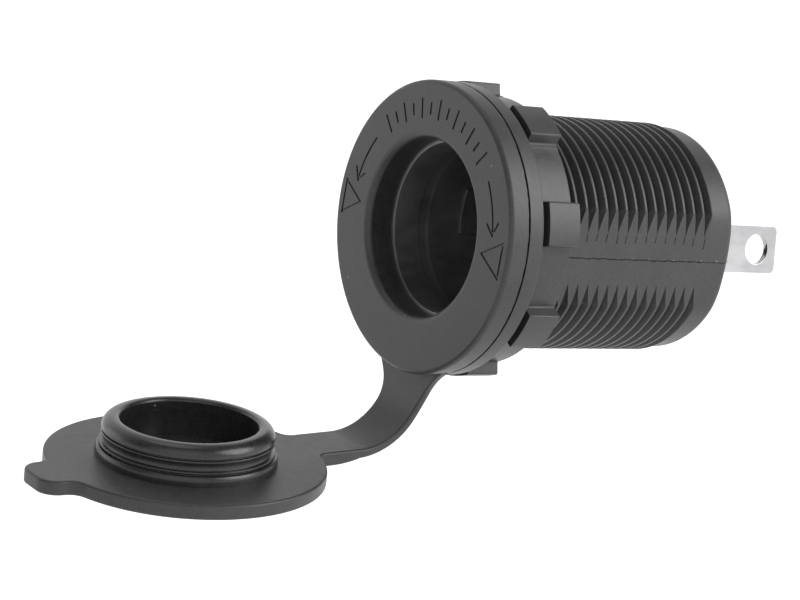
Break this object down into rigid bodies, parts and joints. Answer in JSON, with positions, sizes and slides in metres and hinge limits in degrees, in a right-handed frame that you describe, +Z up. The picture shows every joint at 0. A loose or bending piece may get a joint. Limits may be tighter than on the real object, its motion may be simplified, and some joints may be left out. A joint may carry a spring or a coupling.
{
  "type": "car 12 V power socket",
  "caption": "Panel-mount 12 V power socket: threaded barrel with flange and ring nut, metal contact cup, blade terminals, and a soft cover with a plug cap on a strap.",
  "frame": {"origin": "on the socket's axis, in the plane of the flange's rear face, where the panel seats", "axes": "+Y along the axis to the terminals, so the mouth faces -Y; +Z up, with the strap at the bottom; +X to the right of someone facing the mouth"},
  "size_m": [0.036, 0.1034, 0.0501],
  "materials": {
    "housing_plastic": "satin black moulded plastic",
    "nut_plastic": "satin black moulded plastic",
    "cover_rubber": "soft satin black rubber",
    "gasket_rubber": "matte black rubber",
    "plated_steel": "dull nickel plate",
    "insulator_plastic": "matte black plastic",
    "contact_brass": "nickel plated brass",
    "tinned_blade": "tin plated brass"
  },
  "bodies": {
    "socket": {"housing": "housing_plastic", "cover_ring": "cover_rubber", "cover_strap": "cover_rubber", "flange_gasket": "gasket_rubber", "contact_sleeve": "plated_steel", "front_insulator": "insulator_plastic", "rear_insulator": "insulator_plastic", "centre_contact": "contact_brass", "centre_rivet": "contact_brass", "positive_terminal": "tinned_blade", "negative_terminal": "tinned_blade", "ground_rivet": "plated_steel"},
    "cap": {"cover_cap": "cover_rubber"},
    "nut": {"ring_nut": "nut_plastic"}
  },
  "joints": [
    {"name": "cap_swing", "type": "hinge", "parent": "socket", "child": "cap", "pos_m": [0, -0.00566, -0.02733], "axis": [1, 0, 0], "range_deg": [-94.3, 85.7], "stiffness_Nm_per_rad": 0.028, "deforming": ["cover_strap"]},
    {"name": "nut_travel", "type": "slide", "parent": "socket", "child": "nut", "axis": [0, 1, 0], "range_m": [0, 0.025]}
  ]
}
